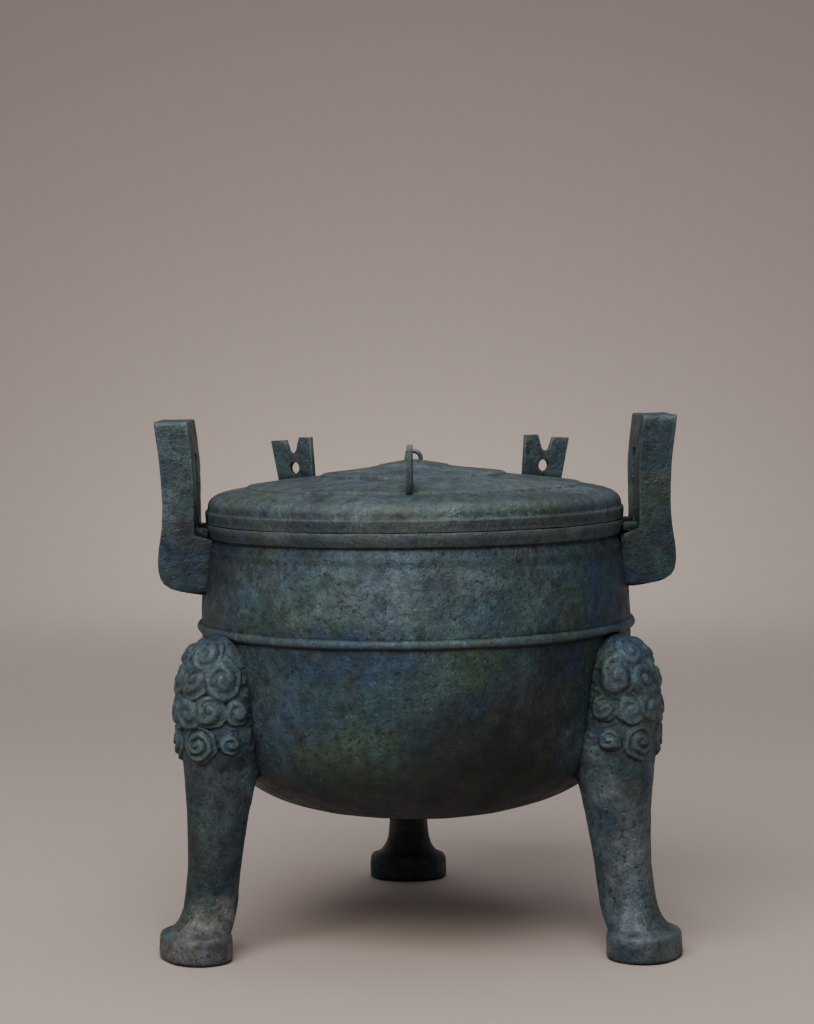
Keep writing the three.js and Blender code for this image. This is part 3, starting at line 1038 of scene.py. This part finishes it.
# The other lamps: name, place and target in metres, size and power. The glows fall behind the object
LAMPS = (
    ("key", (-0.65, -2.1, 2.6), (0, 0, 0.25), (3.0, 2.2), 91),
    ("top", (0.2, 0.2, 2.9), (0, 0, 0.2), (2.4, 1.8), 18),
    ("glow_low", (0, 3.0, 1.3), (0, 3.9, 0.0), (1.2, 0.5), 8.5),
    ("glow_high", (0, 3.7, 1.4), (0, 5.0, 0.35), (0.7, 0.4), 7.5),
)
FILL_COLOUR = srgb(184, 195, 215)
FILL_STRENGTH = 0.36
FLOOR_COLOUR = srgb(197, 182, 172)
FLOOR_ROUGHNESS = 0.9
CAMERA_AWAY = 2440.0               # millimetres from the vessel's axis, and the eye's height over the floor
CAMERA_HEIGHT = 565.0
CAMERA_ASIDE = -9.0                # how far the eye is to +X of the axis
VIEW_HEIGHT = 1024.0               # height in view at the vessel's axis, and how far its middle is above
VIEW_SHIFT = -150.0                # the eye's level there, as the lens is shifted and not tilted
SENSOR = 36.0


def studio_floor():
    """The level floor, the sweep and the wall in one surface."""
    profile = [(radius, 0.0) for radius in FLOOR_RINGS]
    for angle in np.linspace(0, np.pi / 2, SWEEP_STEPS + 1)[1:]:
        profile.append((FLOOR_FLAT + SWEEP * math.sin(angle), SWEEP * (1 - math.cos(angle))))
    profile.append((FLOOR_FLAT + SWEEP, WALL_HEIGHT))
    profile = np.array(profile)
    points = rings(profile, FLOOR_AROUND).reshape(-1, 3)
    mesh = bpy.data.meshes.new("floor")
    mesh.from_pydata(points.tolist(), [], ring_faces(len(profile), FLOOR_AROUND).tolist())
    made = bpy.data.objects.new("floor", mesh)
    bpy.context.scene.collection.objects.link(made)
    mesh.shade_smooth()
    mesh.materials.append(plain("studio", FLOOR_COLOUR, FLOOR_ROUGHNESS))


def soft_lamp(name, place, target, size, power):
    lamp = bpy.data.lights.new(name, "AREA")
    lamp.shape = "RECTANGLE"
    lamp.size, lamp.size_y = size
    lamp.energy = power
    lamp.color = WARM
    holder = bpy.data.objects.new(name, lamp)
    holder.location = place
    holder.rotation_euler = (Vector(target) - Vector(place)).to_track_quat("-Z", "Y").to_euler()
    bpy.context.scene.collection.objects.link(holder)
    holder.visible_camera = False


def backdrop_lamps():
    """A ring of lamps over the object's surroundings that shine outwards, on the sweep."""
    for step in range(BACK_LAMPS):
        angle = 2 * math.pi * step / BACK_LAMPS + math.pi / 2
        out = Vector((math.cos(angle), math.sin(angle), 0))
        place = out * BACK_LAMP_R + Vector((0, 0, BACK_LAMP_Z))
        target = out * BACK_TARGET_R + Vector((0, 0, BACK_TARGET_Z))
        power = BACK_POWER if step == 0 else SIDE_POWER
        soft_lamp(f"backdrop_{step}", place, target, BACK_SIZE, power)


def camera():
    data = bpy.data.cameras.new("camera")
    data.sensor_width = SENSOR
    data.lens = SENSOR * CAMERA_AWAY / VIEW_HEIGHT
    data.shift_y = VIEW_SHIFT / VIEW_HEIGHT
    holder = bpy.data.objects.new("camera", data)
    holder.location = ((CAMERA_ASIDE + shift[0]) * MM, (shift[1] - CAMERA_AWAY) * MM, CAMERA_HEIGHT * MM)
    holder.rotation_euler = (math.pi / 2, 0, 0)
    bpy.context.scene.collection.objects.link(holder)
    bpy.context.scene.camera = holder


studio_floor()
for lamp_row in LAMPS:
    soft_lamp(*lamp_row)
backdrop_lamps()
world = bpy.data.worlds.new("studio")
world.use_nodes = True
world.node_tree.nodes["Background"].inputs["Color"].default_value = FILL_COLOUR
world.node_tree.nodes["Background"].inputs["Strength"].default_value = FILL_STRENGTH
bpy.context.scene.world = world
camera()
